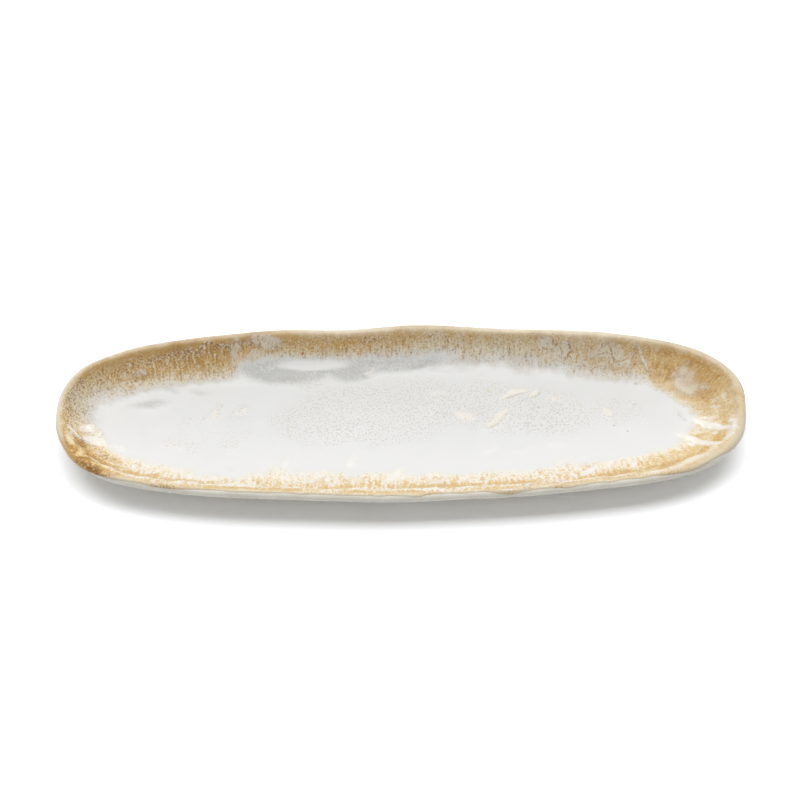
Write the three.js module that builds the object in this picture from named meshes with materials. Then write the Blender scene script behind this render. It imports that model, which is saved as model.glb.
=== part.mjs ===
// Long oval serving platter in reactive-glazed stoneware.
// Millimetres, +Z up, X along the length. It stands on its foot ring at Z = 0, centred over the origin.
//
// The platter is drawn as one section, which runs from the centre line of the well out to the lip and
// back under to the foot. A section point is (r, z), where r is its distance from the centre line. Every
// piece is a closed part of that section, carried round the oval by one rule, so the pieces stay in step.

import * as THREE from "three";
import { mergeVertices } from "three/addons/utils/BufferGeometryUtils.js";

// Overall size of the glazed platter, before the hand marks
const LENGTH = 406;
const WIDTH = 127;
const RIM_HEIGHT = 24; // from the table to the crest of the lip
const END_FULLNESS = 2.85; // 2 makes a true ellipse, and more makes the ends squarer

// Stoneware slab
const FLOOR_THICKNESS = 5.5;
const LIP_THICKNESS = 4.6;
const WALL_RUN = 25; // from the edge of the flat floor out to the middle of the lip

// Foot ring
const FOOT_HEIGHT = 3;
const FOOT_WIDTH = 5;
const FOOT_INSET = 30; // from the platter's outer edge to the outside of the ring
const FOOT_CHAMFER = 0.8;

// Glaze coats
const GLAZE_THICKNESS = 0.8;
const BOND_GAP = 0.3; // the clearance that is kept wherever two pieces meet
const WELL_INSET = 23; // from the platter's outer edge to where the white glaze starts
const WELL_WAVE = 2.5; // how far the runs of tan glaze move that line in and out
const WELL_RUNS = 7; // how many such runs there are round the oval
const OUTER_LINE = 1.7; // from the crest of the lip, over its outside, to where the tan glaze ends
const FOOT_LINE = 2.5; // bare clay that is left between the outer glaze and the foot ring

// Swells and dips left in the rim by hand. Each has its place, in turns from the right-hand end towards
// the back, its spread in turns, and how far it moves the rim outwards and up.
const HAND_MARKS = [
  { at: 0.02, spread: 0.025, out: 1.2, up: 0.0 },
  { at: 0.05, spread: 0.028, out: 1.2, up: 0.2 },
  { at: 0.105, spread: 0.022, out: 1.2, up: 0.3 },
  { at: 0.155, spread: 0.014, out: 0.4, up: 0.0 },
  { at: 0.195, spread: 0.02, out: -0.6, up: -0.6 },
  { at: 0.24, spread: 0.018, out: 1.3, up: 1.0 },
  { at: 0.276, spread: 0.013, out: -0.9, up: -0.5 },
  { at: 0.306, spread: 0.012, out: 0.7, up: 0.2 },
  { at: 0.376, spread: 0.012, out: 0.6, up: 0.2 },
  { at: 0.415, spread: 0.014, out: 1.0, up: 0.2 },
  { at: 0.556, spread: 0.02, out: -1.8, up: 0.3 },
  { at: 0.618, spread: 0.013, out: 0.9, up: -0.2 },
  { at: 0.692, spread: 0.016, out: -0.5, up: 0.2 },
  { at: 0.745, spread: 0.018, out: 1.1, up: -0.5 },
  { at: 0.834, spread: 0.02, out: -1.0, up: 0.4 },
  { at: 0.88, spread: 0.016, out: 0.7, up: -0.1 },
];

// Fineness of the meshes
const QUARTER_STATIONS = 22; // ribs in each quarter of the oval
const WALL_STEPS = 6; // up the whole wall
const WELL_EDGE_STEPS = 2; // up the part of the wall that the white glaze covers
const LIP_STEPS = 4; // over the whole lip
const LIP_INSIDE_STEPS = 3; // over the part of the lip that the tan glaze covers
const LIP_OUTSIDE_STEPS = 3; // round the part of the lip that the outer glaze covers
const MERGE_DISTANCE = 1e-4; // points closer than this are one

// Sizes that follow from those above
const HALF_WIDTH = WIDTH / 2;
const SPINE_REACH = (LENGTH - WIDTH) / 2; // half the centre line that the ribs spring from
const COAT = BOND_GAP + GLAZE_THICKNESS;
const UNDERSIDE = FOOT_HEIGHT + BOND_GAP;
const FLOOR_MIDDLE = UNDERSIDE + FLOOR_THICKNESS / 2;
const LIP_RADIUS = LIP_THICKNESS / 2;
const LIP_CENTRE = new THREE.Vector2(HALF_WIDTH - COAT - LIP_RADIUS, RIM_HEIGHT - COAT - LIP_RADIUS);
const WALL_START = LIP_CENTRE.x - WALL_RUN;
const WALL_RISE = LIP_CENTRE.y - FLOOR_MIDDLE;
const FOOT_OUTSIDE = HALF_WIDTH - FOOT_INSET;
const FOOT_INSIDE = FOOT_OUTSIDE - FOOT_WIDTH;

const HALF_TURN = Math.PI;
const FULL_TURN = 2 * Math.PI;
const STATIONS = 4 * QUARTER_STATIONS;
const INSIDE = 1;
const OUTSIDE = -1;

// The slab's middle line is flat under the well and rises to the lip as a parabola. This is the point of
// the slab's skin beside it, on one side, at a distance off the bare clay.
function besideMiddle(r, side, away) {
  const share = Math.max(0, (r - WALL_START) / WALL_RUN);
  const thickness = THREE.MathUtils.lerp(FLOOR_THICKNESS, LIP_THICKNESS, share);
  const upright = new THREE.Vector2(-2 * WALL_RISE * share, WALL_RUN).normalize();
  return new THREE.Vector2(r, FLOOR_MIDDLE + WALL_RISE * share ** 2).addScaledVector(
    upright,
    side * (thickness / 2 + away),
  );
}

// The point of the skin on the rounded lip, at an angle from its crest down its outside.
const LIP_SLOPE = Math.atan2(2 * WALL_RISE, WALL_RUN);
function onLip(angle, away) {
  return new THREE.Vector2(Math.sin(angle), Math.cos(angle)).multiplyScalar(LIP_RADIUS + away).add(LIP_CENTRE);
}

// Values spaced evenly from one to another, with both ends.
function spaced(from, to, steps) {
  return Array.from({ length: steps + 1 }, (_, i) => THREE.MathUtils.lerp(from, to, i / steps));
}

// Stretches of skin, as lists of section points. The lip starts where the inner wall ends, and ends where
// the outer wall starts.
const LIP_START = -LIP_SLOPE;
const LIP_END = HALF_TURN - LIP_SLOPE;
const wallSkin = (from, to, steps, side, away) => spaced(from, to, steps).map((r) => besideMiddle(r, side, away));
const lipSkin = (from, to, steps, away) => spaced(from, to, steps).map((angle) => onLip(angle, away));

// A closed coat of glaze over a stretch of skin: its back just clear of the clay, and its fired surface.
function coat(stretch) {
  return [...stretch(BOND_GAP), ...stretch(COAT).reverse()];
}

// Where the white glaze ends at a place round the oval
function wellEdge(turn) {
  return HALF_WIDTH - WELL_INSET + WELL_WAVE * Math.sin(WELL_RUNS * FULL_TURN * turn);
}

// Sections, each a list of points at a place round the oval
function bodySection() {
  return [
    besideMiddle(0, OUTSIDE, 0),
    ...wallSkin(WALL_START, LIP_CENTRE.x, WALL_STEPS, OUTSIDE, 0),
    ...lipSkin(LIP_END, LIP_START, LIP_STEPS, 0).slice(1, -1),
    ...wallSkin(LIP_CENTRE.x, WALL_START, WALL_STEPS, INSIDE, 0),
    besideMiddle(0, INSIDE, 0),
  ];
}

function wellGlazeSection(turn) {
  return coat((away) => [
    besideMiddle(0, INSIDE, away),
    ...wallSkin(WALL_START, wellEdge(turn), WELL_EDGE_STEPS, INSIDE, away),
  ]);
}

function rimGlazeSection(turn) {
  return coat((away) => [
    ...wallSkin(wellEdge(turn) + BOND_GAP, LIP_CENTRE.x, WALL_STEPS, INSIDE, away),
    ...lipSkin(LIP_START, OUTER_LINE / LIP_RADIUS, LIP_INSIDE_STEPS, away).slice(1),
  ]);
}

function outerGlazeSection() {
  return coat((away) => [
    ...lipSkin((OUTER_LINE + BOND_GAP) / LIP_RADIUS, LIP_END, LIP_OUTSIDE_STEPS, away),
    ...wallSkin(LIP_CENTRE.x, FOOT_OUTSIDE + FOOT_LINE, WALL_STEPS, OUTSIDE, away).slice(1),
  ]);
}

function footSection() {
  return [
    besideMiddle(FOOT_INSIDE, OUTSIDE, BOND_GAP),
    new THREE.Vector2(FOOT_INSIDE, FOOT_CHAMFER),
    new THREE.Vector2(FOOT_INSIDE + FOOT_CHAMFER, 0),
    new THREE.Vector2(FOOT_OUTSIDE - FOOT_CHAMFER, 0),
    new THREE.Vector2(FOOT_OUTSIDE, FOOT_CHAMFER),
    besideMiddle(FOOT_OUTSIDE, OUTSIDE, BOND_GAP),
  ];
}

// How far the hand marks move the rim at a place round the oval, outwards or up.
function handMark(turn, which) {
  return HAND_MARKS.reduce((sum, mark) => {
    const width = FULL_TURN * mark.spread;
    const nearness = Math.exp((Math.cos(FULL_TURN * (turn - mark.at)) - 1) / width ** 2);
    return sum + mark[which] * nearness;
  }, 0);
}

// Carries a section point round the oval. A rib springs from the centre line, and the squarer the ends,
// the longer the ribs in between.
function place(point, turn) {
  const angle = FULL_TURN * turn;
  const c = Math.cos(angle);
  const s = Math.sin(angle);
  const n = END_FULLNESS;
  const fullness = (Math.abs(c) ** n + Math.abs(s) ** n) ** (-1 / n);
  const onWall = THREE.MathUtils.clamp((point.x - WALL_START) / WALL_RUN, 0, 1) ** 2;
  const r = point.x + onWall * handMark(turn, "out");
  const z = point.y + onWall * handMark(turn, "up");
  return new THREE.Vector3(fullness * (SPINE_REACH + r) * c, fullness * r * s, z);
}

// The solid that a section makes on its way round the oval. A section that starts on the centre line ends
// there too, and meets its other half there.
function sweep(sectionAt) {
  const turns = spaced(0, 1, STATIONS).slice(0, STATIONS);
  const sections = turns.map((turn) => sectionAt(turn).map((point) => place(point, turn)));
  const size = sections[0].length;
  const sides = sectionAt(0)[0].x === 0 ? size - 1 : size;
  const triangles = [];
  for (let i = 0; i < STATIONS; i++) {
    const next = (i + 1) % STATIONS;
    for (let j = 0; j < sides; j++) {
      const after = (j + 1) % size;
      const [a, b] = [i * size + j, i * size + after];
      const [c, d] = [next * size + j, next * size + after];
      triangles.push(a, c, b, b, c, d);
    }
  }
  const geometry = new THREE.BufferGeometry().setFromPoints(sections.flat());
  geometry.setIndex(triangles);
  return mergeVertices(geometry, MERGE_DISTANCE);
}

const bareClay = new THREE.MeshStandardMaterial({ color: 0xd8c8ae, roughness: 0.85, metalness: 0 });
const whiteGlaze = new THREE.MeshStandardMaterial({ color: 0xebeae6, roughness: 0.15, metalness: 0 });
const tanGlaze = new THREE.MeshStandardMaterial({ color: 0xc29a5c, roughness: 0.2, metalness: 0 });
const creamGlaze = new THREE.MeshStandardMaterial({ color: 0xe6dcc4, roughness: 0.25, metalness: 0 });

function piece(name, section, material) {
  const mesh = new THREE.Mesh(sweep(section), material);
  mesh.name = name;
  return mesh;
}

const platter = new THREE.Group();
platter.add(
  piece("stoneware_body", bodySection, bareClay),
  piece("foot_ring", footSection, bareClay),
  piece("well_glaze", wellGlazeSection, whiteGlaze),
  piece("rim_glaze", rimGlazeSection, tanGlaze),
  piece("outer_glaze", outerGlazeSection, creamGlaze),
);

// The hand marks leave the rim a little uneven, so the platter is centred by its box.
const centre = new THREE.Box3().setFromObject(platter).getCenter(new THREE.Vector3());
platter.position.set(-centre.x, -centre.y, 0);

export default platter;
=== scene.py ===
# Long oval serving platter in reactive-glazed stoneware: its fired glazes, its bare foot and its light.
# Metres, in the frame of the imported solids: +X along the length, +Y towards the back, +Z up.

import math
from types import SimpleNamespace

import bpy
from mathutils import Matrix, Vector


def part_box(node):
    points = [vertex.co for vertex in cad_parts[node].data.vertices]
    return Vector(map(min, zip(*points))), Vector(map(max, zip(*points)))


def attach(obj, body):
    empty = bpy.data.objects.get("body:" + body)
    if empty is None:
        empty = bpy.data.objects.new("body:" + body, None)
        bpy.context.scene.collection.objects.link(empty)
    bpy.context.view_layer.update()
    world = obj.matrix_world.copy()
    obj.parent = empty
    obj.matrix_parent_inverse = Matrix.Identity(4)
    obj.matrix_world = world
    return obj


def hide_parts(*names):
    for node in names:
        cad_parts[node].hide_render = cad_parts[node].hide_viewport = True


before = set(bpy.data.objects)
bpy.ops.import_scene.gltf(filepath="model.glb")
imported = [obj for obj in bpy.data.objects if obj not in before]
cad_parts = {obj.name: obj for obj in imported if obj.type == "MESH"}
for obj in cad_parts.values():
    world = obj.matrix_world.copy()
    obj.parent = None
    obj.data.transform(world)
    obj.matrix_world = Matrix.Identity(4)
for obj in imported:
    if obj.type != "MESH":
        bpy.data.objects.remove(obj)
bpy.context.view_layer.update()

MM = 0.001
FULL_TURN = 2 * math.pi

# Sizes of the platter, which its solids have too
PLATTER = {
    "Length": 406 * MM,
    "Width": 127 * MM,
    "Rim Height": 24 * MM,
    "End Fullness": 2.85,
    "Floor Thickness": 5.5 * MM,
    "Lip Thickness": 4.6 * MM,
    "Wall Run": 25 * MM,
    "Foot Height": 3 * MM,
    "Bond Gap": 0.3 * MM,
    "Glaze Thickness": 0.8 * MM,
}
FOOT_WIDTH = 5 * MM
FOOT_INSET = 30 * MM
OUTER_LINE = 1.7 * MM  # from the crest of the lip, over its outside, to where the tan glaze ends
FOOT_LINE = 2.5 * MM  # bare clay between the outer glaze and the foot ring
MERGE_DISTANCE = 0.01 * MM

# Size of the waves in a hand-drawn line, on a ring of radius 1
TAN_LINE_WAVES = 0.05
FOOT_LINE_WAVES = 0.3

# Sizes of the patches in which the fired glazes rise, run and stray
SHORE_BENDS = 36 * MM
FACET_SIZE = 28 * MM
LUMP_SIZE = 10 * MM
SWELL_SIZE = 50 * MM
WAVE_SIZE = 22 * MM
RUN_WIDTH = 6 * MM
WRINKLE_BENDS = 30 * MM
WRINKLE_GROUPS = 24 * MM
LOOSE_BENDS = 16 * MM
FIRM_BENDS = 6 * MM
SLOW_BENDS = 30 * MM

# Distances from the lip between which a part of the relief comes in or goes out
WALL_TOP = (2 * MM, 9 * MM)
WALL_FOOT = (32 * MM, 22 * MM)
POOL_TOP = (6 * MM, 22 * MM)
POOL_SHORE = (31 * MM, 24 * MM)
SWELL_EDGE = (10 * MM, 30 * MM)
# Between these the ledge's face is painted grey as shade; this is colour, not relief
SHADED_LEDGE = (12 * MM, 21 * MM)
WRINKLE_TOP = (0.5 * MM, 2 * MM)
WRINKLE_FOOT = (20 * MM, 10 * MM)

WRINKLED_FRONT = (0.0, -20 * MM)  # between which wrinkles come in, from the middle towards the front
WRINKLE_STRAY = 1.8  # how far wrinkles stray, in turns of their wave
SHORE_STRAY = 14 * MM  # how far the shore of the pooled glaze strays
LEDGE_RISE = 0.5 * MM  # of a ledge's flat above the well, for each millimetre of its mark
FOLD_RISE = 0.4  # share of a fold's mark that stands up

# Swells and dips left in the rim by hand: place in turns from the right-hand end towards the back, spread
# in turns, and how far the rim moves outwards and up, in millimetres
HAND_MARKS = [
    (0.02, 0.025, 1.2, 0.0),
    (0.05, 0.028, 1.2, 0.2),
    (0.105, 0.022, 1.2, 0.3),
    (0.155, 0.014, 0.4, 0.0),
    (0.195, 0.02, -0.6, -0.6),
    (0.24, 0.018, 1.3, 1.0),
    (0.276, 0.013, -0.9, -0.5),
    (0.306, 0.012, 0.7, 0.2),
    (0.376, 0.012, 0.6, 0.2),
    (0.415, 0.014, 1.0, 0.2),
    (0.556, 0.02, -1.8, 0.3),
    (0.618, 0.013, 0.9, -0.2),
    (0.692, 0.016, -0.5, 0.2),
    (0.745, 0.018, 1.1, -0.5),
    (0.834, 0.02, -1.0, 0.4),
    (0.88, 0.016, 0.7, -0.1),
]

# Where the tan glaze ran over the lip: place and spread in turns, and how much further down it goes, in
# millimetres
RUN_OVERS = [
    (0.572, 0.026, 4.6),
    (0.645, 0.006, 1.0),
    (0.757, 0.003, 0.7),
    (0.797, 0.004, 1.5),
    (0.822, 0.003, 0.8),
    (0.884, 0.01, 1.2),
    (0.938, 0.018, 1.8),
    (0.99, 0.04, 1.6),
]

# Marks in the fired glaze: the middle of each in plan, its length and width, how far its length is turned
# from +X in degrees, and how high it stands. Millimetres.
# Ledges stand up in the relief, and their face is also painted grey as shade
LEDGES = [
    (-68, 45, 76, 37, 0, 1.1),
    (-31, 45, 40, 35, 0, 1.1),
    (0, 49, 84, 27, 6, 0.85),
]
# Where the ledge's painted shade is left out, so that a pale lens of highlight shows on its top; no relief
UNSHADED_LENSES = [
    (-54, 42.5, 58, 9, 1, 1.0),
]
# Folds stand up a little, and are also painted grey as shade
FOLDS = [
    (-151, 15, 32, 9, 6, 0.7),
    (-175, 22, 26, 16, 21, 0.4),
    (-139, 26, 18, 7, -16, 0.5),
    (-122, 24, 18, 7, -14, 0.4),
]
SWELLINGS = [
    (-150, 22, 70, 40, 3, 1.4),
]
# White runs of glaze, whose bright white is partly a painted glint of the key light
GLINTING_WHITE_RUNS = [
    (-192, -11, 22, 5, -38, 1.0),
    (-186, -5, 22, 12, 5, 0.8),
    (-180, -14, 27, 13, -14, 1.1),
    (-179, -8, 15, 5, 53, 0.6),
    (-168, -17, 22, 9, -8, 0.6),
    (-191, -22, 15, 5, -45, 0.6),
    (-180, -33, 14, 5, -34, 0.6),
    (-178, -24, 11, 4, -25, 0.5),
    (-171, -39, 18, 5, -28, 0.6),
    (-162, -38.5, 14, 4.5, -9, 0.7),
    (-157, -32, 6, 6, 0, 0.7),
    (59, -60.5, 28, 4, 3, 0.5),
    (71, -57, 11, 5, 6, 0.6),
    (90, -55, 16, 5, 12, 0.6),
    (182, -8, 48, 9, -38, 1.2),
    (180, -1, 28, 4, -20, 0.7),
    (174, -20, 48, 9, -37, 1.2),
    (169, -21, 13, 5, -35, 0.8),
    (194, -15, 18, 5, -101, 0.7),
    (190, -23, 15, 5, -142, 0.7),
    (193, -10, 5, 5, 0, 0.9),
    (-70, -33, 34, 10, 75, 0.5),
    (-52, -45, 32, 10, 20, 0.6),
    (-31, -29, 36, 10, 68, 0.5),
    (-6, -42, 30, 10, 53, 0.9),
    (20, -47, 26, 9, 30, 0.6),
    (108, -41, 26, 8, 44, 0.9),
    (120, -36, 20, 6, 71, 0.8),
    (134, -36, 20, 6, 58, 0.9),
    (146, 41.5, 36, 3.8, -65, 0.9),
    (139, 41, 34, 3.4, -111, 0.8),
]
PALE_PATCHES = [
    (126, 45, 48, 22, -20, 0.8),
    (94, 48, 50, 20, -8, 0.7),
    (173, 24, 36, 24, -56, 0.9),
    (-158, 36, 14, 9, 30, 0.4),
    (-80, 56, 46, 12, 0, 0.4),
    (-101, 49, 9, 30, 0, 0.4),
    (-90, 50, 16, 10, 30, 0.3),
]
CREAM_SMEARS = [
    (57, 1.6, 24, 9, 49, 1.2),
    (66, 19.6, 23, 7, 34, 1.1),
    (78.7, 19.3, 12, 7, 25, 1.2),
    (37.5, 5.2, 19, 11, 10, 0.6),
    (52, 22.4, 15, 6, 10, 0.6),
    (93, 16.4, 18, 7, -10, 0.6),
    (122.9, 5.4, 10, 9, 0, 0.7),
    (-18.2, 38.2, 14, 5, 25, 0.5),
    (-36, 37, 12, 11, 0, 0.2),
    (-46, 36, 9, 8, 0, 0.2),
    (-112, 8, 22, 7, 52, 0.4),
    (-94, 10, 14, 6, 30, 0.3),
    (-131, -15, 20, 13, 5, 0.35),
    (-99, -12, 19, 14, 8, 0.3),
    (20, 21, 26, 7, 12, 0.3),
    (50, -16, 16, 10, 40, 0.3),
    (71, -23, 14, 7, 0, 0.3),
    (92, -18, 12, 9, 20, 0.3),
]
PINHOLES = [
    (141.5, 26.4, 4, 3, -20, 0.4),
    (139.5, 11, 3, 2.2, 20, 0.3),
    (125.7, -4.5, 3, 2.2, -30, 0.3),
    (133.5, -9.1, 2.6, 2, -30, 0.3),
]
# Where a finish is stronger or weaker than elsewhere, in the same form, with a share for the height
TAN_POOLS = [
    (-128, 46, 120, 44, 7, 0.45),
    (-186, -31, 84, 46, -45, 1.1),
    (174, 26, 84, 60, -50, 0.95),
    (174, -19, 60, 42, -42, 0.45),
    (150, -40, 110, 44, 18, 0.35),
    (8, 48, 80, 18, 0, 0.3),
]
THIN_PLACES = [
    (62, 52, 200, 50, -2, 0.5),
    (-186, 12, 46, 56, 10, 0.45),
    (-90, -48, 110, 44, -3, 0.5),
    (194, 0, 30, 56, 0, 0.55),
]
SPECKLE_FIELDS = [
    (-10, 8, 190, 66, 6, 1.0),
    (70, 8, 150, 56, -8, 0.9),
    (128, 6, 60, 40, 0, 0.5),
    (-114, 7, 30, 12, 50, 0.6),
    (-131, -15, 26, 18, 5, 0.5),
    (-99, -12, 24, 18, 8, 0.5),
    (-95, 11, 24, 12, 51, 0.6),
    (-112, -3, 116, 50, 0, 0.3),
    (-62, 30, 46, 10, -2, 0.8),
]
BROWN_EDGES = [
    (-179, -39, 48, 16, -36, 1.1),
    (-136, -55, 60, 9, -11, 0.6),
    (14, -62, 10, 7, 0, 0.4),
    (60, -62, 20, 9, 0, 0.6),
    (88, -60, 14, 8, 8, 0.7),
    (150, -52, 70, 9, 18, 0.55),
    (12, 62, 130, 9, -1, 0.35),
    # The right-hand end's outer lip: partly its tan glaze, partly painted shade where it curls away from
    # the light
    (202, -4, 14, 64, 0, 0.4),
]
SMOKY_PLACES = [
    (-186, -17, 26, 9, -40, 0.9),
    (-174, -26, 24, 9, -32, 0.8),
    (166, 2, 16, 7, -60, 0.4),
    (71, -57, 13, 7, 6, 0.6),
    (90, -55, 18, 7, 12, 0.6),
]


class Wire:
    """One output of a node, in a geometry or a shader tree. Arithmetic on it adds Math nodes."""

    def __init__(self, tree, socket=None):
        self.tree = tree
        self.socket = socket

    def node(self, kind, settings=None, inputs=None, output=0):
        """Adds a node, sets it, fills its inputs with values or wires, and gives one of its outputs."""
        made = self.tree.nodes.new(kind)
        for name, value in (settings or {}).items():
            setattr(made, name, value)
        for name, value in (inputs or {}).items():
            if isinstance(value, Wire):
                self.tree.links.new(value.socket, made.inputs[name])
            else:
                made.inputs[name].default_value = value
        return Wire(self.tree, made.outputs[output]) if made.outputs else None

    def math(self, operation, *values):
        return self.node("ShaderNodeMath", {"operation": operation}, dict(enumerate(values)))

    def by(self, operation):
        """A Math node on this wire alone, such as its sine."""
        return self.math(operation, self)

    def __add__(self, other):
        return self.math("ADD", self, other)

    def __sub__(self, other):
        return self.math("SUBTRACT", self, other)

    def __rsub__(self, other):
        return self.math("SUBTRACT", other, self)

    def __mul__(self, other):
        return self.math("MULTIPLY", self, other)

    def __truediv__(self, other):
        return self.math("DIVIDE", self, other)

    def __rtruediv__(self, other):
        return self.math("DIVIDE", other, self)

    def __pow__(self, other):
        return self.math("POWER", self, other)

    def __neg__(self):
        return self.math("MULTIPLY", self, -1.0)

    __radd__ = __add__
    __rmul__ = __mul__

    def least(self, other):
        return self.math("MINIMUM", self, other)

    def most(self, other):
        return self.math("MAXIMUM", self, other)

    def clamped(self):
        return self.most(0.0).least(1.0)

    def halfway(self):
        """1 where this wire is a half, and 0 where it is 0 or 1."""
        return self * (1 - self) * 4

    def smooth(self, start, end):
        """0 before start, 1 after end and a smooth step between. The step falls if start is above end."""
        inputs = {"Value": self, "From Min": start, "From Max": end}
        return self.node("ShaderNodeMapRange", {"interpolation_type": "SMOOTHSTEP"}, inputs)

    def vector(self, operation, other, output=0):
        return self.node("ShaderNodeVectorMath", {"operation": operation}, {0: self, 1: other}, output)

    def scaled(self, factor):
        inputs = {0: self, "Scale": factor}
        return self.node("ShaderNodeVectorMath", {"operation": "SCALE"}, inputs)

    def part(self, axis):
        return self.node("ShaderNodeSeparateXYZ", inputs={0: self}, output=axis)

    def point(self, x, y, z):
        return self.node("ShaderNodeCombineXYZ", inputs={"X": x, "Y": y, "Z": z})

    def blend(self, colour, other):
        """A colour on the way to another, as far as this wire says."""
        settings = {"data_type": "RGBA"}
        return self.node("ShaderNodeMix", settings, {"Factor": self, 6: colour, 7: other}, output=2)

    def grain(self, size, detail=2.0, roughness=0.5, distortion=0.0):
        """Cloudy noise round 0 whose patches have about this size, at the places on this wire."""
        inputs = {"Vector": self, "Scale": 1 / size, "Detail": detail, "Roughness": roughness}
        return self.node("ShaderNodeTexNoise", inputs={**inputs, "Distortion": distortion}) - 0.5

    def veins(self, size, width, swirl=0.6):
        """Thin wandering lines, 1 along their middle, in a net whose meshes have about this size."""
        return self.grain(size, distortion=swirl).by("ABSOLUTE").smooth(width, 0.0)

    def cells(self, size, width):
        """Thin lines round cells of about this size, 1 along their middle."""
        inputs = {"Vector": self, "Scale": 1 / size}
        return self.node("ShaderNodeTexVoronoi", {"feature": "DISTANCE_TO_EDGE"}, inputs).smooth(width, 0.0)

    def adrift(self, size, reach):
        """These places, each moved about by noise whose patches have about this size."""
        cloudy = {"Vector": self, "Scale": 1 / size, "Detail": 2.0}
        drift = self.node("ShaderNodeTexNoise", inputs=cloudy, output="Color")
        return self.vector("ADD", drift.vector("SUBTRACT", (0.5, 0.5, 0.5)).scaled(reach))


# Geometry trees


def new_tree(name, inputs):
    """An empty geometry tree with a named input for each size, and the wires of those inputs."""
    tree = bpy.data.node_groups.new(name, "GeometryNodeTree")
    tree.interface.new_socket("Geometry", in_out="INPUT", socket_type="NodeSocketGeometry")
    tree.interface.new_socket("Geometry", in_out="OUTPUT", socket_type="NodeSocketGeometry")
    kinds = {int: "NodeSocketInt", float: "NodeSocketFloat", Vector: "NodeSocketVector"}
    for label, value in inputs.items():
        tree.interface.new_socket(label, in_out="INPUT", socket_type=kinds[type(value)])
    source = tree.nodes.new("NodeGroupInput")
    return {label: Wire(tree, source.outputs[label]) for label in inputs}


def end_tree(mesh, material):
    """Ends a tree: smooth faces, the material, and no instances left."""
    smooth = mesh.node("GeometryNodeSetShadeSmooth", inputs={"Geometry": mesh})
    real = mesh.node("GeometryNodeRealizeInstances", inputs={"Geometry": smooth})
    done = mesh.node("GeometryNodeSetMaterial", inputs={"Geometry": real, "Material": material})
    sink = mesh.tree.nodes.new("NodeGroupOutput")
    mesh.tree.links.new(done.socket, sink.inputs["Geometry"])


def grow(name, tree, inputs):
    """A piece made by a geometry tree with its inputs set, and kept as a plain mesh."""
    piece = bpy.data.objects.new(name, bpy.data.meshes.new(name))
    bpy.context.scene.collection.objects.link(piece)
    modifier = piece.modifiers.new(name, "NODES")
    modifier.node_group = tree
    for item in tree.interface.items_tree:
        if item.in_out == "INPUT" and item.name in inputs:
            modifier[item.identifier] = inputs[item.name]
    grown = piece.evaluated_get(bpy.context.evaluated_depsgraph_get())
    mesh = bpy.data.meshes.new_from_object(grown)
    piece.modifiers.clear()
    piece.data = mesh
    mesh.name = name
    return piece


# The platter's rule: a section, from the middle of the well over the lip and back under, goes round an oval


def section_of(given):
    """What follows from the platter's sizes, as wires."""
    section = SimpleNamespace(given=given)
    section.coat = given["Bond Gap"] + given["Glaze Thickness"]
    section.half_width = given["Width"] / 2
    section.spine_reach = (given["Length"] - given["Width"]) / 2
    section.lip_radius = given["Lip Thickness"] / 2
    section.lip_r = section.half_width - section.coat - section.lip_radius
    section.lip_z = given["Rim Height"] - section.coat - section.lip_radius
    section.floor_middle = given["Foot Height"] + given["Bond Gap"] + given["Floor Thickness"] / 2
    section.wall_start = section.lip_r - given["Wall Run"]
    section.wall_rise = section.lip_z - section.floor_middle
    lip_slope = section.wall_rise.math("ARCTAN2", section.wall_rise * 2, given["Wall Run"])
    section.crest = section.lip_r + lip_slope * section.lip_radius
    section.lip_end = section.lip_r + section.lip_radius * math.pi
    return section


def skin_point(section, along, away):
    """The point (r, z) so far along the slab's skin from the middle of the well, and so far off it."""
    given = section.given
    over = ((along - section.lip_r) / section.lip_radius).most(0.0).least(math.pi)
    r = along.least(section.lip_r) - (along - section.lip_end).most(0.0)
    share = ((r - section.wall_start) / given["Wall Run"]).most(0.0)
    slope = r.math("ARCTAN2", share * section.wall_rise * 2, given["Wall Run"])
    lean = slope - over
    thickness = given["Floor Thickness"] + share * (given["Lip Thickness"] - given["Floor Thickness"])
    reach = thickness / 2 + away
    z = section.floor_middle + section.wall_rise * share * share
    return r - lean.by("SINE") * reach, z + lean.by("COSINE") * reach


def nearness(turn, at, spread):
    """1 at a place round the oval, and less the further from it."""
    angle = (turn - at) * FULL_TURN
    return ((angle.by("COSINE") - 1) / (FULL_TURN * spread) ** 2).by("EXPONENT")


def carried(section, r, z, turn):
    """The place of a section point on its way round the oval, with the hand marks on the wall."""
    given = section.given
    angle = turn * FULL_TURN
    cosine, sine = angle.by("COSINE"), angle.by("SINE")
    power = given["End Fullness"]
    fullness = (cosine.by("ABSOLUTE") ** power + sine.by("ABSOLUTE") ** power) ** (-1 / power)
    marks = None
    for at, spread, out, up in HAND_MARKS:
        mark = turn.point(out * MM, up * MM, 0.0).scaled(nearness(turn, at, spread))
        marks = marks.vector("ADD", mark) if marks else mark
    on_wall = ((r - section.wall_start) / given["Wall Run"]).clamped() ** 2
    r = r + on_wall * marks.part("X")
    z = z + on_wall * marks.part("Y")
    place = r.point(fullness * (section.spine_reach + r) * cosine, fullness * r * sine, z)
    return place.vector("ADD", given["Centre"])


def station_grid(given, rows):
    """A grid of stations round the oval by rows round the section, and each point's turn and row."""
    size = {"Size X": 1.0, "Size Y": 1.0, "Vertices X": given["Stations"] + 1, "Vertices Y": rows + 1}
    grid = rows.node("GeometryNodeMeshGrid", inputs=size)
    at = grid.node("GeometryNodeInputPosition")
    turn = 0.5 - at.part("X")  # so that the faces look outwards
    return grid, turn, ((at.part("Y") + 0.5) * rows).by("ROUND")


def moved(mesh, place):
    return mesh.node("GeometryNodeSetPosition", inputs={"Geometry": mesh, "Position": place})


def closed(mesh):
    """The mesh with its seams closed."""
    return mesh.node("GeometryNodeMergeByDistance", inputs={"Geometry": mesh, "Distance": MERGE_DISTANCE})


# Coats of glaze


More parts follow.
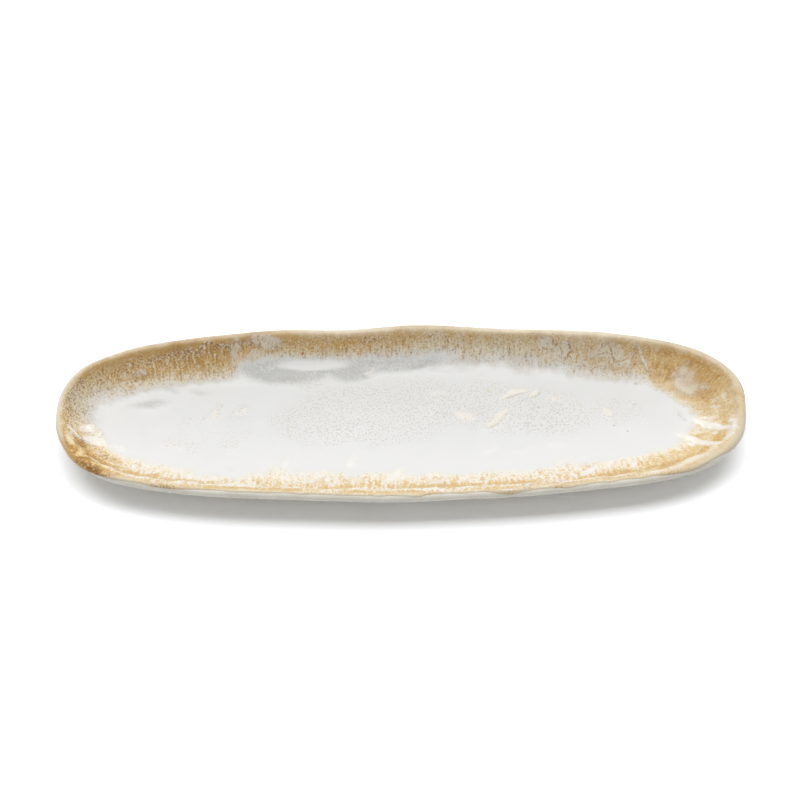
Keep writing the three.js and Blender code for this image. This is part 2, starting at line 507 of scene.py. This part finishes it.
class Coat:
    """A coat of glaze as it is made: its mesh, and the values that are kept on the mesh's points."""

    def __init__(self, mesh):
        self.mesh = mesh

    def keep(self, name, value, kind="FLOAT"):
        """Keeps a value on the points under a name, and gives a wire that reads it back."""
        inputs = {"Geometry": self.mesh, "Name": name, "Value": value}
        settings = {"data_type": kind, "domain": "POINT"}
        self.mesh = self.mesh.node("GeometryNodeStoreNamedAttribute", settings, inputs)
        return self.mesh.node("GeometryNodeInputNamedAttribute", {"data_type": kind}, {"Name": name})

    def raise_by(self, relief):
        """Moves the fired side outwards."""
        normal = self.mesh.node("GeometryNodeInputNormal")
        offset = {"Geometry": self.mesh, "Offset": normal.scaled(relief * self.fired)}
        self.mesh = self.mesh.node("GeometryNodeSetPosition", inputs=offset)


def coat_over(section, start_at, end_at, thickness_at):
    """A closed coat over a stretch of the skin, from where start_at says to where end_at does."""
    given = section.given
    top, back = given["Top Rows"], given["Back Rows"]
    grid, turn, row = station_grid(given, top + back + 1)
    share = (row / top).least(1 - (row - top - 1) / back)
    start, end = start_at(turn), end_at(turn)
    along = start + (end - start) * share
    fired = row.math("LESS_THAN", row, top + 0.5)
    r, z = skin_point(section, along, given["Bond Gap"] + fired * thickness_at(along, start, end))
    coat = Coat(grid)
    coat.fired = coat.keep("fired", fired)
    coat.mesh = closed(moved(coat.mesh, carried(section, r, z, turn)))
    return coat


def tan_edge(section, turn):
    """How far along the skin the tan glaze reaches, over the lip."""
    edge = section.crest + section.given["Outer Line"]
    for at, spread, reach in RUN_OVERS:
        edge = edge + nearness(turn, at, spread) * (reach * MM)
    return edge


def wander(turn, waves, detail=2.0):
    """How a hand-drawn line strays on its way round the oval, between about -1 and 1."""
    angle = turn * FULL_TURN
    return angle.point(angle.by("COSINE"), angle.by("SINE"), 0.0).grain(waves, detail) * 2


def beaded(left, bead):
    """The share of a coat's thickness at a distance from its edge, which is round like a bead."""
    return (1 - (1 - (left / bead).clamped()) ** 2).by("SQRT")


def lip_outline(section):
    """The platter's outer edge in plan, as a line of edges."""
    stations = section.given["Stations"]
    line = stations.node("GeometryNodeMeshLine", inputs={"Count": stations + 1})
    turn = line.node("GeometryNodeInputIndex") / stations
    edge = carried(section, section.half_width, 0.0, turn)
    return moved(line, edge.vector("MULTIPLY", (1.0, 1.0, 0.0)))


def marks_in(place, marks, firmness=0.0):
    """How high the marks of a list stand at a place, in millimetres. A firm mark has a flat top."""
    height = None
    for x, y, length, width, turned, rise in marks:
        off = place.vector("SUBTRACT", (x * MM, y * MM, 0.0))
        turning = {"Vector": off, "Angle": -math.radians(turned)}
        off = off.node("ShaderNodeVectorRotate", {"rotation_type": "Z_AXIS"}, turning)
        off = off.vector("MULTIPLY", (2 / (length * MM), 2 / (width * MM), 0.0))
        mark = off.vector("LENGTH", (0.0, 0.0, 0.0), output="Value").smooth(1.0, firmness) * rise
        height = height.most(mark) if height else mark
    return height


def level(marks):
    """The marks of a list, all 1 mm high."""
    return [(*mark[:-1], 1.0) for mark in marks]


def keep_flow(coat, section, plan):
    """Keeps the nearest point of the lip, the distance from it, and how the glaze ran from there."""
    near = {"Geometry": lip_outline(section), "Sample Position": plan}
    nearest = plan.node("GeometryNodeProximity", {"target_element": "EDGES"}, near)
    crest = coat.keep("crest", nearest, "FLOAT_VECTOR")
    coat.inset = coat.keep("inset", plan.vector("DISTANCE", crest, output="Value"))
    flow = crest.point(crest.part("X"), crest.part("Y"), coat.inset / section.given["Run Stretch"])
    coat.run = coat.keep("run", flow.grain(RUN_WIDTH))


def keep_marks(coat, given, plan):
    """Keeps the marks for the finish, and gives their height in millimetres, apart from the ledges'."""
    loose = plan.adrift(LOOSE_BENDS, given["Loose Drift"])
    firm = plan.adrift(FIRM_BENDS, given["Firm Drift"])
    slow = plan.adrift(SLOW_BENDS, given["Firm Drift"])
    coat.ledge = coat.keep("ledge", marks_in(slow, LEDGES, firmness=0.66))
    unshaded_lens = marks_in(slow, UNSHADED_LENSES, firmness=0.5)
    fold = marks_in(firm, FOLDS, firmness=0.1)
    # Painted shade: grey on the ledge's face and on the folds, left out at the pale lens
    painted_ledge_shade = (coat.ledge - unshaded_lens) * coat.inset.smooth(*SHADED_LEDGE)
    coat.keep("grey_fold", painted_ledge_shade.most(fold))
    white_run = coat.keep("white_run", marks_in(firm, GLINTING_WHITE_RUNS, firmness=0.1))
    cream_smear = coat.keep("cream_smear", marks_in(loose, CREAM_SMEARS, firmness=0.3))
    coat.keep("pale_patch", marks_in(loose, level(PALE_PATCHES), firmness=0.2))
    coat.keep("pinhole", marks_in(plan, level(PINHOLES), firmness=0.2))
    pools = marks_in(plan, TAN_POOLS) - marks_in(plan, THIN_PLACES, firmness=0.3)
    coat.tan_pool = coat.keep("tan_pool", pools)
    coat.keep("speckle_field", marks_in(loose, SPECKLE_FIELDS, firmness=0.3))
    coat.keep("brown_edge", marks_in(plan, BROWN_EDGES))
    coat.keep("smoke", marks_in(firm, SMOKY_PLACES))
    raised = marks_in(plan, SWELLINGS) + marks_in(loose, PALE_PATCHES, firmness=0.2)
    sunk = marks_in(plan, PINHOLES, firmness=0.2)
    return fold * FOLD_RISE + white_run + cream_smear + raised - sunk


def wrinkles(coat, given, at):
    """Keeps the wrinkles along the front, which lie closer near the lip, and gives their height."""
    ripples = 1 + coat.inset / given["Wrinkle Pitch"]
    strayed = at.grain(WRINKLE_BENDS) * WRINKLE_STRAY
    waves = (ripples.math("LOGARITHM", ripples, math.e) + strayed) * FULL_TURN
    band = coat.inset.smooth(*WRINKLE_TOP) * coat.inset.smooth(*WRINKLE_FOOT)
    grouped = at.grain(WRINKLE_GROUPS, detail=1.0).smooth(-0.14, 0.05)
    creased = at.part("Y").smooth(*WRINKLED_FRONT) * band * grouped
    wrinkle = coat.keep("wrinkle", waves.by("SINE") * creased)
    height = given["Wrinkle Height"] + coat.tan_pool.most(0.0) * given["Pool Wrinkle Height"]
    return wrinkle * height


def melt(coat, section, at):
    """How the glaze pooled against the wall and in the ledge, and how lumpy it set."""
    given, inset = section.given, coat.inset
    well_top = section.floor_middle + given["Floor Thickness"] / 2 + section.coat
    step = (well_top + coat.ledge * LEDGE_RISE - at.part("Z")).most(0.0)
    shore = inset + at.grain(SHORE_BENDS) * SHORE_STRAY
    pooled = shore.smooth(*POOL_SHORE) * inset.smooth(*POOL_TOP) * given["Pool Depth"]
    wall = inset.smooth(*WALL_FOOT) * inset.smooth(*WALL_TOP) * coat.ledge.smooth(0.5, 0.0)
    facets = at.grain(FACET_SIZE, detail=1.0) * given["Facet Height"]
    lumps = at.grain(LUMP_SIZE) * given["Lump Height"]
    ridges = coat.run * given["Ridge Height"]
    swell = at.grain(SWELL_SIZE, detail=1.0) * inset.smooth(*SWELL_EDGE) * given["Swell Height"]
    return step + pooled + (facets + lumps + ridges) * wall + swell


def inside_glaze_tree(inputs, material):
    """The white and tan glazes of the inside: flowing, pooled and beaded, in one fired surface."""
    given = new_tree("inside_glaze", inputs)
    section = section_of(given)

    def middle(turn):
        return 0.0

    def tan_line(turn):
        return tan_edge(section, turn) + wander(turn, TAN_LINE_WAVES, detail=3.0) * given["Line Wander"]

    def thickness(along, start, end):
        return given["Glaze Thickness"] * beaded(end - along, given["Edge Bead"])

    coat = coat_over(section, middle, tan_line, thickness)
    at = coat.mesh.node("GeometryNodeInputPosition")
    plan = at.vector("MULTIPLY", (1.0, 1.0, 0.0))
    keep_flow(coat, section, plan)
    standing = keep_marks(coat, given, plan) * MM
    coat.raise_by(standing + wrinkles(coat, given, at) + melt(coat, section, at))
    end_tree(coat.mesh, material)
    return coat.mesh.tree


def outer_glaze_tree(inputs, material):
    """The cream glaze of the outside, from under the tan glaze's edge to a line above the foot."""
    given = new_tree("outer_glaze", inputs)
    section = section_of(given)

    def under_tan(turn):
        return tan_edge(section, turn) - given["Tuck"]

    def foot_line(turn):
        finish = section.lip_end + section.lip_r - given["Foot Edge"]
        return finish + wander(turn, FOOT_LINE_WAVES) * given["Line Wander"]

    def thickness(along, start, end):
        tucked = (along - start).smooth(given["Tuck"] * 3, 0.0) * given["Tuck Depth"]
        nearest_edge = (end - along).least(along - start)
        return (given["Glaze Thickness"] - tucked) * beaded(nearest_edge, given["Edge Bead"])

    coat = coat_over(section, under_tan, foot_line, thickness)
    at = coat.mesh.node("GeometryNodeInputPosition")
    coat.raise_by(at.grain(WAVE_SIZE) * given["Wave Height"])
    end_tree(coat.mesh, material)
    return coat.mesh.tree


def foot_ring_tree(inputs, material):
    """The bare foot: a low ring with soft corners and a ground-flat face, joined to the slab."""
    given = new_tree("foot_ring", inputs)
    section = section_of(given)
    grid, turn, row = station_grid(given, given["Section Rows"])
    angle = row / given["Section Rows"] * FULL_TURN

    def squared(wave):
        return wave.by("ABSOLUTE") ** given["Corner Softness"] * wave.by("SIGN")

    r = given["Foot Middle"] + given["Foot Width"] / 2 * squared(angle.by("COSINE"))
    z = given["Foot Height"] / 2 * (1 - squared(angle.by("SINE")))
    end_tree(closed(moved(grid, carried(section, r, z, turn))), material)
    return grid.tree


# Finishes


def tint(red, green, blue):
    """A colour as it looks on screen, in 8-bit values, as the light that the nodes work in."""
    def light(value):
        share = value / 255
        return share / 12.92 if share <= 0.04045 else ((share + 0.055) / 1.055) ** 2.4

    return (light(red), light(green), light(blue), 1.0)


def new_material(name):
    """An empty material, a wire to start from, and a call that sends a shader to its surface."""
    material = bpy.data.materials.new(name)
    material.use_nodes = True
    material.node_tree.nodes.clear()
    start = Wire(material.node_tree)

    def finish(shader):
        start.node("ShaderNodeOutputMaterial", inputs={"Surface": shader})

    return material, start, finish


# Colours of the glazes and the clay
UMBER = tint(156, 113, 58)
CARAMEL = tint(195, 161, 104)
BEIGE = tint(208, 196, 170)
LILAC = tint(210, 207, 201)
PEARL = tint(228, 221, 208)
FAWN = tint(213, 205, 187)
WHITE = tint(241, 241, 240)
# A greyer white, painted shade for the back of the well
SHADED_WHITE = tint(230, 230, 228)
SILVER = tint(222, 212, 192)
# Also the painted glint on the white runs
FOAM = tint(254, 251, 244)
PLUM = tint(118, 92, 82)
AMBER = tint(219, 177, 104)
RUST = tint(150, 102, 46)
HONEY = tint(235, 207, 154)
STRAW = tint(249, 227, 177)
BUTTER = tint(250, 240, 216)
IVORY = tint(246, 236, 214)
CREAM = tint(249, 243, 231)
MOSS = tint(192, 184, 154)
# Painted grey shade on the ledge's face and the folds
PEWTER = tint(189, 189, 185)
SLIP = tint(238, 233, 219)
CHALK = tint(250, 246, 234)
CLAY = tint(206, 186, 156)
CLAY_GRAIN = tint(168, 142, 108)

# The tan glaze's colours from thin to thick: where each starts, where it is full, and the colour
BACK_WALL_LAYERS = [(0.0, 0.25, LILAC), (0.2, 0.55, BEIGE), (0.4, 1.0, CARAMEL), (0.9, 1.5, UMBER)]
FRONT_WALL_LAYERS = [(0.0, 0.4, BUTTER), (0.25, 0.8, HONEY), (0.85, 1.45, AMBER)]

TAN_REACH = 29 * MM  # from the lip to where the tan glaze ends in the well
TAN_FADE = 22 * MM  # over which it gets thinner towards there

# Stretches of the platter over which the finish changes, from where that starts to where it is full
LEFT_SIDE = (-40 * MM, -80 * MM)
LEFT_END = (-150 * MM, -185 * MM)
OFF_LEFT_TIP = (-178 * MM, -160 * MM)
RIGHT_END = (125 * MM, 172 * MM)
BACK_SIDE = (20 * MM, 35 * MM)
BEHIND_MIDDLE = (10 * MM, 30 * MM)
FRONT_SIDE = (30 * MM, -26 * MM)

# Distances from the lip between which a part of the finish comes in or goes out
CALM_LIP = (9 * MM, 5 * MM)
HAIR_TOP = (6.5 * MM, 10 * MM)
HAIR_FOOT = (28 * MM, 20 * MM)
FOAM_TOP = (1 * MM, 8 * MM)
TIER_TOP = (6.5 * MM, 8 * MM)
TIER_FOOT = (11 * MM, 9 * MM)
RUSTY_LIP = (5 * MM, 1.5 * MM)
WASHED_LEDGE = (11 * MM, 18 * MM)

# Numbers that the inside glaze keeps on its points for its finish, besides the lip's nearest point
KEPT_NUMBERS = (
    "inset", "run", "wrinkle", "ledge", "grey_fold", "white_run", "pale_patch", "cream_smear", "pinhole",
    "tan_pool", "speckle_field", "brown_edge", "smoke",
)


def glaze_at(start):
    """The inside glaze at a place, with what its mesh keeps there."""
    glaze = SimpleNamespace(at=start.node("ShaderNodeTexCoord", output="Object"))
    for name in KEPT_NUMBERS:
        setattr(glaze, name, start.node("ShaderNodeAttribute", {"attribute_name": name}, output="Fac"))
    glaze.crest = start.node("ShaderNodeAttribute", {"attribute_name": "crest"}, output="Vector")
    return glaze


def add_patterns(glaze):
    """Adds the patterns of the melt: noise round 0, and lines that are 1 along their middle."""
    at, crest, inset = glaze.at, glaze.crest, glaze.inset

    def down_wall(stretch, squeeze=1.0):
        """Places by the nearest point of the lip and the way down from it, for a pattern that runs down."""
        return inset.point(crest.part("X") * squeeze, crest.part("Y") * squeeze, inset / stretch)

    glaze.cloud = at.grain(26 * MM)
    glaze.blotch = at.grain(9 * MM, detail=3.0, roughness=0.6)
    glaze.mottle = at.grain(5 * MM, distortion=1.2)
    glaze.speck = at.grain(1.05 * MM, detail=0.0, distortion=0.6)
    glaze.dots = at.grain(1.1 * MM, detail=0.0).smooth(-0.02, 0.25)
    glaze.foam = at.veins(2.8 * MM, width=0.14)
    glaze.swirl = at.veins(4.5 * MM, width=0.08, swirl=2.5)
    bent = at.adrift(9 * MM, reach=14 * MM)
    glaze.crevice = bent.cells(13 * MM, width=0.09) * glaze.blotch.smooth(-0.12, 0.02)
    flow = down_wall(stretch=4.0)
    glaze.streak = flow.grain(1.2 * MM, detail=1.0)
    glaze.pale_hair = flow.veins(3.0 * MM, width=0.12)
    glaze.dark_hair = flow.veins(2.4 * MM, width=0.12)
    glaze.froth = down_wall(stretch=3.5).grain(1.9 * MM, detail=1.0)
    glaze.lava = down_wall(stretch=1.0, squeeze=0.6).grain(5 * MM, distortion=0.8)


def add_zones(glaze):
    """Adds where the glaze differs along the platter, as shares that are 1 where it fully does."""
    x, y = glaze.at.part("X"), glaze.at.part("Y")
    glaze.left = x.smooth(*LEFT_SIDE)
    glaze.left_end = x.smooth(*LEFT_END)
    glaze.left_tier = glaze.left * x.smooth(*OFF_LEFT_TIP)
    glaze.left_back = glaze.left * (1 - glaze.left_end) * y.smooth(*BEHIND_MIDDLE)
    glaze.molten = x.smooth(*RIGHT_END)
    glaze.at_back = y.smooth(*BACK_SIDE)
    glaze.front = (y + glaze.cloud * 40 * MM).smooth(*FRONT_SIDE)
    glaze.golden = glaze.front.most(glaze.molten * 0.5)
    glaze.foaming = glaze.front * (1 - glaze.tan_pool).clamped()
    glaze.narrow_lip = glaze.front.most(glaze.left_end) * (1 - glaze.molten)
    glaze.depth = glaze.inset + glaze.cloud * 10 * MM + glaze.run * 8 * MM


def add_grain(glaze):
    """Adds the fine grain of the tan glaze, darker where it is above 0 and lighter where it is below."""
    depth, front = glaze.depth, glaze.front
    calm = depth.smooth(*CALM_LIP) * glaze.left * (1 - front)
    hairy = depth.smooth(*HAIR_TOP) * depth.smooth(*HAIR_FOOT) * (1 - front)
    hairs = (glaze.streak * 1.6 + glaze.dark_hair * 0.25 - glaze.pale_hair * 0.3) * hairy
    foamy = glaze.mottle * 1.6 + glaze.froth * 3.4 - glaze.foam * 0.3 - 0.05
    foamy = foamy * glaze.foaming * glaze.inset.smooth(*FOAM_TOP)
    folded = glaze.lava * 5.5 * front * glaze.left * glaze.tan_pool.clamped()
    specks = glaze.speck * (1.9 + glaze.foaming * 1.4 + glaze.left_end * 0.8)
    softened = (1 - glaze.molten * 0.5) * (1 - calm * 0.7) * (1 - glaze.pale_patch * 0.5)
    swirled = (glaze.crevice * 0.7 + (glaze.swirl - 0.3) * 0.4) * glaze.pale_patch
    swirled = swirled * (1 - glaze.molten * 0.7)
    # Crests of the wrinkles come out lighter and troughs darker: brown lines in the glaze, and painted
    # highlight and shade on their relief
    glaze.grain = (hairs + foamy + folded + specks) * softened + swirled - glaze.wrinkle * 1.1


def add_thickness(glaze):
    """Adds how thick the tan glaze lies, where white glaze ran over it, with a painted glint on its runs,
    and where its grain shows.
    """
    blotch, mottle, molten = glaze.blotch, glaze.mottle, glaze.molten
    ragged = blotch * 0.8 + mottle * 1.4 + glaze.speck * 0.5
    glaze.runny = (glaze.white_run * 1.4 + ragged).smooth(0.3, 1.1) * glaze.white_run.smooth(0.0, 0.3)
    glaze.patch = (glaze.pale_patch * 1.1 + blotch * 1.6 + mottle * 0.8).smooth(0.25, 1.1)
    shoreline = glaze.inset + glaze.cloud * (9 + glaze.front * 12) * MM + glaze.run * 6 * MM
    washed = glaze.ledge * (glaze.inset + blotch * 9 * MM).smooth(*WASHED_LEDGE)
    cover = (TAN_REACH - shoreline) / TAN_FADE + glaze.tan_pool * 0.5 - washed * 0.45
    glaze.cover = cover.most(0.0).least(0.9)
    uneven = blotch * (0.45 + molten * 0.8) + mottle * (0.3 + molten * 1.1) + glaze.tan_pool.most(0.0) * 0.5
    outlines = glaze.patch.halfway() * 0.25 + glaze.runny.halfway() * (0.3 + glaze.at_back * 0.5)
    glaze.thick = glaze.cover + (uneven + outlines) * glaze.cover.smooth(0.0, 0.4)
    broken = glaze.inset.smooth(0.5 * MM, (8 - glaze.narrow_lip * 5) * MM) * glaze.thick.smooth(0.0, 0.4)
    glaze.broken_grain = glaze.grain * broken


def wall_colour(glaze):
    """The tan glaze over the white one, from the well to the lip, with painted grey shade on the ledge's
    face and the folds, and the well painted greyer towards the back as shade.
    """
    def layered(colour, layers):
        for start, end, tone in layers:
            colour = glaze.thick.smooth(start, end).blend(colour, tone)
        return colour

    # Painted shade: grey on the ledge's face and on the folds
    patchy = glaze.cloud * 0.8 + glaze.blotch * 0.9 + glaze.mottle * 0.4 + glaze.speck
    grey = (glaze.grey_fold * (0.85 + patchy)).clamped()
    # The well's white is painted greyer towards the back, as shade
    well = grey.blend(glaze.front.blend(SHADED_WHITE, WHITE), PEWTER)
    walls = glaze.golden.blend(layered(well, BACK_WALL_LAYERS), layered(well, FRONT_WALL_LAYERS))
    plain = (glaze.patch * 0.85).blend(walls, glaze.molten.blend(FAWN, SILVER))
    dark_tone = (glaze.golden * glaze.foaming).blend(UMBER, AMBER)
    darker = (glaze.broken_grain.clamped() * (1 - glaze.front * 0.3)).blend(plain, dark_tone)
    light_tone = glaze.golden.blend(SILVER, glaze.foaming.blend(STRAW, FOAM))
    return (-glaze.broken_grain).clamped().blend(darker, light_tone)


def rim_colour(glaze, wall):
    """The wall with its worn or rusty lip, painted darker as shade at the right-hand end, the white runs
    over it, partly painted glints, and the specks along its upper tier.
    """
    front, molten, speck, brown_edge = glaze.front, glaze.molten, glaze.speck, glaze.brown_edge
    bare = glaze.inset + glaze.blotch * 4 * MM + glaze.left_back * 2 * MM
    # Kept tan darkens the lip; at the right-hand end this is partly painted shade
    kept_tan = brown_edge.most(glaze.tan_pool * front * (0.8 + molten * 0.8)) * 1.2
    worn = bare.smooth((8.5 - glaze.narrow_lip * 3) * MM, 1 * MM) * (1 - kept_tan).most(0.0)
    worn = worn * (1 - front * (1 - molten) * (1 - glaze.left_end) * 0.28)
    lip = worn.blend(wall, (molten * 0.5).blend(IVORY, BEIGE))
    rusty = (brown_edge * 0.9 + glaze.mottle * 2.0 + speck * 1.5).smooth(0.2, 1.0)
    rusty = rusty * brown_edge.smooth(0.0, 0.4) * brown_edge.least(1.0)
    rusted = (rusty * glaze.inset.smooth(*RUSTY_LIP)).blend(lip, RUST)
    # The white runs are painted bright, partly as glints of the key light
    front_run_glint_tone = (glaze.tan_pool.smooth(0.5, 1.0) * front * 0.7).blend(FOAM, STRAW)
    run_glint_tone = glaze.at_back.blend(front_run_glint_tone, PEARL)
    with_run_glints = (glaze.runny * (0.9 - glaze.at_back * 0.2)).blend(rusted, run_glint_tone)
    tier = glaze.depth.smooth(*TIER_TOP) * glaze.depth.smooth(*TIER_FOOT) * (1 - molten) * (1 - front)
    tier = tier * (glaze.cloud.smooth(-0.02, 0.06) * 0.6 + glaze.left_tier * 0.6).least(1.0)
    tier = (tier * (1 - glaze.pale_patch * 0.8)).most(glaze.smoke)
    frosted = (tier * speck.smooth(0.0, -0.2) * 0.6).blend(with_run_glints, LILAC)
    return (tier * speck.smooth(0.0, 0.2) * 0.7).blend(frosted, PLUM)


def reactive_glaze():
    """Tan glaze that breaks into hair and specks as it runs down the wall, over a speckled white well."""
    material, start, finish = new_material("reactive_glaze")
    glaze = glaze_at(start)
    add_patterns(glaze)
    add_zones(glaze)
    add_grain(glaze)
    add_thickness(glaze)
    rim = rim_colour(glaze, wall_colour(glaze))

    dotted = glaze.dots * (glaze.speckle_field + glaze.blotch * 0.8).smooth(0.1, 0.7) * (1 - glaze.cover)
    smeared = (glaze.cream_smear * 1.6 + glaze.blotch * 1.2 + glaze.mottle * 1.2).smooth(0.3, 1.0)
    outlined = smeared.halfway() * glaze.cream_smear.smooth(0.2, 0.9)
    freckled = (dotted * 0.42).blend(rim, MOSS)
    creamy = (smeared * 0.7).blend(freckled, CREAM)
    colour = (outlined * 0.3).most(glaze.pinhole * 0.6).blend(creamy, MOSS)

    height = glaze.broken_grain + dotted * 0.3
    bump = start.node("ShaderNodeBump", inputs={"Strength": 0.3, "Distance": 0.25 * MM, "Height": height})
    inputs = {
        "Base Color": colour,
        "Roughness": 0.4 - glaze.runny * 0.1,
        "Specular IOR Level": 0.2,
        "Coat Weight": 0.15 + glaze.runny * 0.7,
        "Coat Roughness": 0.12,
        "Normal": bump,
    }
    finish(start.node("ShaderNodeBsdfPrincipled", inputs=inputs))
    return material


def cream_glaze():
    """Satin cream glaze with a little cloud and speck in it."""
    material, start, finish = new_material("cream_glaze")
    at = start.node("ShaderNodeTexCoord", output="Object")
    speck = at.grain(0.9 * MM, roughness=0.6)
    cloud = at.grain(16 * MM, detail=3.0)
    colour = (cloud * 0.6 + speck * 0.4).smooth(-0.15, 0.15).blend(SLIP, CHALK)
    bump = start.node("ShaderNodeBump", inputs={"Strength": 0.1, "Distance": 0.2 * MM, "Height": speck})
    inputs = {"Base Color": colour, "Roughness": 0.27 + cloud * 0.1, "Normal": bump}
    finish(start.node("ShaderNodeBsdfPrincipled", inputs=inputs))
    return material


def bare_clay():
    """Unglazed stoneware: sandy, matte, with darker grains of grog."""
    material, start, finish = new_material("bare_clay")
    at = start.node("ShaderNodeTexCoord", output="Object")
    grog = at.grain(0.8 * MM, roughness=0.7)
    cloud = at.grain(18 * MM, detail=3.0)
    colour = (grog.smooth(0.05, 0.2) * 0.7 + cloud * 0.2 + 0.1).blend(CLAY, CLAY_GRAIN)
    bump = start.node("ShaderNodeBump", inputs={"Strength": 0.4, "Distance": 0.2 * MM, "Height": grog})
    inputs = {"Base Color": colour, "Roughness": 0.875 + grog * 0.15, "Normal": bump}
    finish(start.node("ShaderNodeBsdfPrincipled", inputs=inputs))
    return material


# Stage and light

CAMERA_LENS = 85.0
CAMERA_ELEVATION = 51.9
CAMERA_AZIMUTH = -1.0
CAMERA_DISTANCE = 1.13
CAMERA_AIM = Vector((-0.95 * MM, 14.9 * MM, 12 * MM))
FLOOR_SIZE = 8.0
PAPER_WHITE = (1.38, 1.4, 1.44, 1.0)  # as it is seen, so that only the platter's shadow shows on it
PAPER_BOUNCE = (0.85, 0.85, 0.85, 1.0)  # as it lights the platter
SKY_LIGHT = 0.255  # what the white studio sends to matt surfaces, where 1 is white
KEY_POWER = 57.0
KEY_WIDTH = 3.3
KEY_DEPTH = 1.5
KEY_PLACE = Vector((-0.05, 0.58, 2.4))


def seen_ray(start):
    """1 where the camera looks straight at a surface, or sees it in a gloss or through glass."""
    seen = start.node("ShaderNodeLightPath", output="Is Camera Ray")
    for kind in ("Is Glossy Ray", "Is Transmission Ray"):
        seen = seen.most(start.node("ShaderNodeLightPath", output=kind))
    return seen


def white_paper():
    """White backdrop paper that keeps the shadow on it."""
    material, start, finish = new_material("white_paper")
    colour = seen_ray(start).blend(PAPER_BOUNCE, PAPER_WHITE)
    finish(start.node("ShaderNodeBsdfDiffuse", inputs={"Color": colour}))
    return material


def lay_floor():
    half = FLOOR_SIZE / 2
    mesh = bpy.data.meshes.new("floor")
    corners = [(-half, -half, 0), (half, -half, 0), (half, half, 0), (-half, half, 0)]
    mesh.from_pydata(corners, [], [(0, 1, 2, 3)])
    mesh.materials.append(white_paper())
    floor = bpy.data.objects.new("floor", mesh)
    bpy.context.scene.collection.objects.link(floor)


def light_studio():
    world = bpy.data.worlds.new("studio")
    world.use_nodes = True
    world.node_tree.nodes.clear()
    start = Wire(world.node_tree)
    strength = SKY_LIGHT + seen_ray(start) * (1 - SKY_LIGHT)
    white = {"Color": (1.0, 1.0, 1.0, 1.0), "Strength": strength}
    sky = start.node("ShaderNodeBackground", inputs=white)
    start.node("ShaderNodeOutputWorld", inputs={"Surface": sky})
    bpy.context.scene.world = world
    key = bpy.data.lights.new("key", "AREA")
    key.energy = KEY_POWER
    key.shape = "RECTANGLE"
    key.size = KEY_WIDTH
    key.size_y = KEY_DEPTH
    lamp = bpy.data.objects.new("key", key)
    lamp.location = KEY_PLACE
    lamp.rotation_mode = "QUATERNION"
    lamp.rotation_quaternion = (-KEY_PLACE).to_track_quat("-Z", "Y")
    bpy.context.scene.collection.objects.link(lamp)


def set_camera():
    data = bpy.data.cameras.new("camera")
    data.lens = CAMERA_LENS
    camera = bpy.data.objects.new("camera", data)
    height, swing = math.radians(CAMERA_ELEVATION), math.radians(CAMERA_AZIMUTH)
    out = math.cos(height)
    back = Vector((out * math.sin(swing), -out * math.cos(swing), math.sin(height)))
    camera.location = CAMERA_AIM + back * CAMERA_DISTANCE
    camera.rotation_mode = "QUATERNION"
    camera.rotation_quaternion = (-back).to_track_quat("-Z", "Y")
    bpy.context.scene.collection.objects.link(camera)
    bpy.context.scene.camera = camera


# Making


set_camera()
lay_floor()
light_studio()
bpy.context.scene.view_settings.view_transform = "Standard"

foot_low, foot_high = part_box("foot_ring")
centre = (foot_low + foot_high) / 2
oval = {**PLATTER, "Centre": Vector((centre.x, centre.y, 0.0))}
foot_outside = PLATTER["Width"] / 2 - FOOT_INSET

inside = {
    **oval,
    "Stations": 760,
    "Top Rows": 112,
    "Back Rows": 8,
    "Outer Line": OUTER_LINE,
    "Edge Bead": 1.2 * MM,
    "Line Wander": 0.7 * MM,
    "Run Stretch": 4.0,
    "Loose Drift": 16 * MM,
    "Firm Drift": 3.5 * MM,
    "Wrinkle Pitch": 2.6 * MM,
    "Wrinkle Height": 0.12 * MM,
    "Pool Wrinkle Height": 0.25 * MM,
    "Pool Depth": 0.7 * MM,
    "Facet Height": 2.2 * MM,
    "Lump Height": 1.4 * MM,
    "Ridge Height": 0.9 * MM,
    "Swell Height": 1.8 * MM,
}
inside_glaze = grow("inside_glaze", inside_glaze_tree(inside, reactive_glaze()), inside)
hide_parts("well_glaze", "rim_glaze")

outside = {
    **oval,
    "Stations": 640,
    "Top Rows": 56,
    "Back Rows": 8,
    "Outer Line": OUTER_LINE,
    "Edge Bead": 1.5 * MM,
    "Line Wander": 1.2 * MM,
    "Tuck": 1.6 * MM,
    "Tuck Depth": 0.35 * MM,
    "Foot Edge": foot_outside + FOOT_LINE,
    "Wave Height": 0.5 * MM,
}
outside_glaze = grow("outside_glaze", outer_glaze_tree(outside, cream_glaze()), outside)
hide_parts("outer_glaze")

clay = bare_clay()
foot = {
    **oval,
    "Stations": 320,
    "Section Rows": 32,
    "Foot Width": FOOT_WIDTH,
    "Foot Middle": foot_outside - FOOT_WIDTH / 2,
    "Corner Softness": 0.35,
}
foot_piece = grow("bare_foot", foot_ring_tree(foot, clay), foot)
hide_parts("foot_ring")

for piece in (inside_glaze, outside_glaze, foot_piece):
    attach(piece, "root")
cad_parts["stoneware_body"].material_slots[0].material = clay
